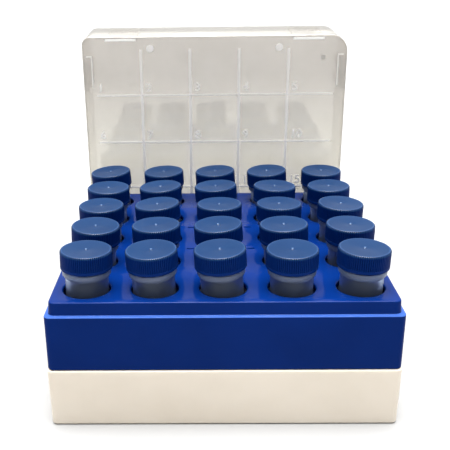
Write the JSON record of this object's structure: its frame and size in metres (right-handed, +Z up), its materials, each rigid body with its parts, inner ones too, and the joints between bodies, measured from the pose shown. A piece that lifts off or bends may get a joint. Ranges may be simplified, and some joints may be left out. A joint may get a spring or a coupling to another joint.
{
  "type": "cryogenic storage box",
  "caption": "Cryogenic storage box: a cream tray and blue holed rack holding a grid of screw-cap vials, with its frosted lid standing behind.",
  "frame": {"origin": "middle of the tray's flat underside", "axes": "+Z up, -Y to the front face that the camera sees, +X to the right; the lid stands behind, towards +Y"},
  "size_m": [0.1338, 0.1661, 0.1324],
  "materials": {
    "cream_plastic": "moulded cream polypropylene, satin",
    "blue_plastic": "moulded deep blue polypropylene, softly glossy",
    "frosted_plastic": "frosted natural polypropylene, translucent",
    "tube_plastic": "frosted natural polypropylene, translucent",
    "cap_plastic": "moulded blue polypropylene, knurled"
  },
  "bodies": {
    "base": {"base": "cream_plastic"},
    "rack": {"rack": "blue_plastic"},
    "lid": {"lid": "frosted_plastic"},
    "tube_11": {"tube_11": "tube_plastic"},
    "cap_11": {"cap_11": "cap_plastic"},
    "tube_12": {"tube_12": "tube_plastic"},
    "cap_12": {"cap_12": "cap_plastic"},
    "tube_13": {"tube_13": "tube_plastic"},
    "cap_13": {"cap_13": "cap_plastic"},
    "tube_14": {"tube_14": "tube_plastic"},
    "cap_14": {"cap_14": "cap_plastic"},
    "tube_15": {"tube_15": "tube_plastic"},
    "cap_15": {"cap_15": "cap_plastic"},
    "tube_21": {"tube_21": "tube_plastic"},
    "cap_21": {"cap_21": "cap_plastic"},
    "tube_22": {"tube_22": "tube_plastic"},
    "cap_22": {"cap_22": "cap_plastic"},
    "tube_23": {"tube_23": "tube_plastic"},
    "cap_23": {"cap_23": "cap_plastic"},
    "tube_24": {"tube_24": "tube_plastic"},
    "cap_24": {"cap_24": "cap_plastic"},
    "tube_25": {"tube_25": "tube_plastic"},
    "cap_25": {"cap_25": "cap_plastic"},
    "tube_31": {"tube_31": "tube_plastic"},
    "cap_31": {"cap_31": "cap_plastic"},
    "tube_32": {"tube_32": "tube_plastic"},
    "cap_32": {"cap_32": "cap_plastic"},
    "tube_33": {"tube_33": "tube_plastic"},
    "cap_33": {"cap_33": "cap_plastic"},
    "tube_34": {"tube_34": "tube_plastic"},
    "cap_34": {"cap_34": "cap_plastic"},
    "tube_35": {"tube_35": "tube_plastic"},
    "cap_35": {"cap_35": "cap_plastic"},
    "tube_41": {"tube_41": "tube_plastic"},
    "cap_41": {"cap_41": "cap_plastic"},
    "tube_42": {"tube_42": "tube_plastic"},
    "cap_42": {"cap_42": "cap_plastic"},
    "tube_43": {"tube_43": "tube_plastic"},
    "cap_43": {"cap_43": "cap_plastic"},
    "tube_44": {"tube_44": "tube_plastic"},
    "cap_44": {"cap_44": "cap_plastic"},
    "tube_45": {"tube_45": "tube_plastic"},
    "cap_45": {"cap_45": "cap_plastic"},
    "tube_51": {"tube_51": "tube_plastic"},
    "cap_51": {"cap_51": "cap_plastic"},
    "tube_52": {"tube_52": "tube_plastic"},
    "cap_52": {"cap_52": "cap_plastic"},
    "tube_53": {"tube_53": "tube_plastic"},
    "cap_53": {"cap_53": "cap_plastic"},
    "tube_54": {"tube_54": "tube_plastic"},
    "cap_54": {"cap_54": "cap_plastic"},
    "tube_55": {"tube_55": "tube_plastic"},
    "cap_55": {"cap_55": "cap_plastic"}
  },
  "joints": [
    {"name": "rack_lift", "type": "slide", "parent": "base", "child": "rack", "axis": [0, 0, 1], "range_m": [0, 0.06]},
    {"name": "lid_lift", "type": "slide", "parent": "base", "child": "lid", "axis": [0, 0, 1], "range_m": [0, 0.15]},
    {"name": "tube_11_lift", "type": "slide", "parent": "rack", "child": "tube_11", "axis": [-0.0767, -0.0209, 0.9968], "range_m": [0, 0.05]},
    {"name": "cap_11_lift", "type": "slide", "parent": "tube_11", "child": "cap_11", "axis": [-0.0767, -0.0209, 0.9968], "range_m": [0, 0.008]},
    {"name": "tube_12_lift", "type": "slide", "parent": "rack", "child": "tube_12", "axis": [-0.0436, -0.0157, 0.9989], "range_m": [0, 0.05]},
    {"name": "cap_12_lift", "type": "slide", "parent": "tube_12", "child": "cap_12", "axis": [-0.0436, -0.0157, 0.9989], "range_m": [0, 0.008]},
    {"name": "tube_13_lift", "type": "slide", "parent": "rack", "child": "tube_13", "axis": [-0.0558, -0.0087, 0.9984], "range_m": [0, 0.05]},
    {"name": "cap_13_lift", "type": "slide", "parent": "tube_13", "child": "cap_13", "axis": [-0.0558, -0.0087, 0.9984], "range_m": [0, 0.008]},
    {"name": "tube_14_lift", "type": "slide", "parent": "rack", "child": "tube_14", "axis": [-0.0645, -0.0209, 0.9977], "range_m": [0, 0.05]},
    {"name": "cap_14_lift", "type": "slide", "parent": "tube_14", "child": "cap_14", "axis": [-0.0645, -0.0209, 0.9977], "range_m": [0, 0.008]},
    {"name": "tube_15_lift", "type": "slide", "parent": "rack", "child": "tube_15", "axis": [0, -0.014, 0.9999], "range_m": [0, 0.05]},
    {"name": "cap_15_lift", "type": "slide", "parent": "tube_15", "child": "cap_15", "axis": [0, -0.014, 0.9999], "range_m": [0, 0.008]},
    {"name": "tube_21_lift", "type": "slide", "parent": "rack", "child": "tube_21", "axis": [0.0035, -0.0122, 0.9999], "range_m": [0, 0.05]},
    {"name": "cap_21_lift", "type": "slide", "parent": "tube_21", "child": "cap_21", "axis": [0.0035, -0.0122, 0.9999], "range_m": [0, 0.008]},
    {"name": "tube_22_lift", "type": "slide", "parent": "rack", "child": "tube_22", "axis": [-0.0645, 0.0087, 0.9979], "range_m": [0, 0.05]},
    {"name": "cap_22_lift", "type": "slide", "parent": "tube_22", "child": "cap_22", "axis": [-0.0645, 0.0087, 0.9979], "range_m": [0, 0.008]},
    {"name": "tube_23_lift", "type": "slide", "parent": "rack", "child": "tube_23", "axis": [-0.0645, 0.0209, 0.9977], "range_m": [0, 0.05]},
    {"name": "cap_23_lift", "type": "slide", "parent": "tube_23", "child": "cap_23", "axis": [-0.0645, 0.0209, 0.9977], "range_m": [0, 0.008]},
    {"name": "tube_24_lift", "type": "slide", "parent": "rack", "child": "tube_24", "axis": [0.0174, 0.0209, 0.9996], "range_m": [0, 0.05]},
    {"name": "cap_24_lift", "type": "slide", "parent": "tube_24", "child": "cap_24", "axis": [0.0174, 0.0209, 0.9996], "range_m": [0, 0.008]},
    {"name": "tube_25_lift", "type": "slide", "parent": "rack", "child": "tube_25", "axis": [-0.0175, 0, 0.9998], "range_m": [0, 0.05]},
    {"name": "cap_25_lift", "type": "slide", "parent": "tube_25", "child": "cap_25", "axis": [-0.0175, 0, 0.9998], "range_m": [0, 0.008]},
    {"name": "tube_31_lift", "type": "slide", "parent": "rack", "child": "tube_31", "axis": [-0.0035, -0.014, 0.9999], "range_m": [0, 0.05]},
    {"name": "cap_31_lift", "type": "slide", "parent": "tube_31", "child": "cap_31", "axis": [-0.0035, -0.014, 0.9999], "range_m": [0, 0.008]},
    {"name": "tube_32_lift", "type": "slide", "parent": "rack", "child": "tube_32", "axis": [-0.0732, 0.0209, 0.9971], "range_m": [0, 0.05]},
    {"name": "cap_32_lift", "type": "slide", "parent": "tube_32", "child": "cap_32", "axis": [-0.0732, 0.0209, 0.9971], "range_m": [0, 0.008]},
    {"name": "tube_33_lift", "type": "slide", "parent": "rack", "child": "tube_33", "axis": [-0.014, 0.0192, 0.9997], "range_m": [0, 0.05]},
    {"name": "cap_33_lift", "type": "slide", "parent": "tube_33", "child": "cap_33", "axis": [-0.014, 0.0192, 0.9997], "range_m": [0, 0.008]},
    {"name": "tube_34_lift", "type": "slide", "parent": "rack", "child": "tube_34", "axis": [-0.0035, 0.0209, 0.9998], "range_m": [0, 0.05]},
    {"name": "cap_34_lift", "type": "slide", "parent": "tube_34", "child": "cap_34", "axis": [-0.0035, 0.0209, 0.9998], "range_m": [0, 0.008]},
    {"name": "tube_35_lift", "type": "slide", "parent": "rack", "child": "tube_35", "axis": [0.0349, -0.0122, 0.9993], "range_m": [0, 0.05]},
    {"name": "cap_35_lift", "type": "slide", "parent": "tube_35", "child": "cap_35", "axis": [0.0349, -0.0122, 0.9993], "range_m": [0, 0.008]},
    {"name": "tube_41_lift", "type": "slide", "parent": "rack", "child": "tube_41", "axis": [0.0384, -0.0209, 0.999], "range_m": [0, 0.05]},
    {"name": "cap_41_lift", "type": "slide", "parent": "tube_41", "child": "cap_41", "axis": [0.0384, -0.0209, 0.999], "range_m": [0, 0.008]},
    {"name": "tube_42_lift", "type": "slide", "parent": "rack", "child": "tube_42", "axis": [-0.0297, 0.0174, 0.9994], "range_m": [0, 0.05]},
    {"name": "cap_42_lift", "type": "slide", "parent": "tube_42", "child": "cap_42", "axis": [-0.0297, 0.0174, 0.9994], "range_m": [0, 0.008]},
    {"name": "tube_43_lift", "type": "slide", "parent": "rack", "child": "tube_43", "axis": [-0.0645, 0, 0.9979], "range_m": [0, 0.05]},
    {"name": "cap_43_lift", "type": "slide", "parent": "tube_43", "child": "cap_43", "axis": [-0.0645, 0, 0.9979], "range_m": [0, 0.008]},
    {"name": "tube_44_lift", "type": "slide", "parent": "rack", "child": "tube_44", "axis": [-0.0349, 0.0087, 0.9994], "range_m": [0, 0.05]},
    {"name": "cap_44_lift", "type": "slide", "parent": "tube_44", "child": "cap_44", "axis": [-0.0349, 0.0087, 0.9994], "range_m": [0, 0.008]},
    {"name": "tube_45_lift", "type": "slide", "parent": "rack", "child": "tube_45", "axis": [0.0087, 0, 1], "range_m": [0, 0.05]},
    {"name": "cap_45_lift", "type": "slide", "parent": "tube_45", "child": "cap_45", "axis": [0.0087, 0, 1], "range_m": [0, 0.008]},
    {"name": "tube_51_lift", "type": "slide", "parent": "rack", "child": "tube_51", "axis": [0.0209, 0.014, 0.9997], "range_m": [0, 0.05]},
    {"name": "cap_51_lift", "type": "slide", "parent": "tube_51", "child": "cap_51", "axis": [0.0209, 0.014, 0.9997], "range_m": [0, 0.008]},
    {"name": "tube_52_lift", "type": "slide", "parent": "rack", "child": "tube_52", "axis": [-0.0471, -0.0209, 0.9987], "range_m": [0, 0.05]},
    {"name": "cap_52_lift", "type": "slide", "parent": "tube_52", "child": "cap_52", "axis": [-0.0471, -0.0209, 0.9987], "range_m": [0, 0.008]},
    {"name": "tube_53_lift", "type": "slide", "parent": "rack", "child": "tube_53", "axis": [-0.061, -0.0174, 0.998], "range_m": [0, 0.05]},
    {"name": "cap_53_lift", "type": "slide", "parent": "tube_53", "child": "cap_53", "axis": [-0.061, -0.0174, 0.998], "range_m": [0, 0.008]},
    {"name": "tube_54_lift", "type": "slide", "parent": "rack", "child": "tube_54", "axis": [-0.0122, -0.0209, 0.9997], "range_m": [0, 0.05]},
    {"name": "cap_54_lift", "type": "slide", "parent": "tube_54", "child": "cap_54", "axis": [-0.0122, -0.0209, 0.9997], "range_m": [0, 0.008]},
    {"name": "tube_55_lift", "type": "slide", "parent": "rack", "child": "tube_55", "axis": [0.0297, 0, 0.9996], "range_m": [0, 0.05]},
    {"name": "cap_55_lift", "type": "slide", "parent": "tube_55", "child": "cap_55", "axis": [0.0297, 0, 0.9996], "range_m": [0, 0.008]}
  ]
}
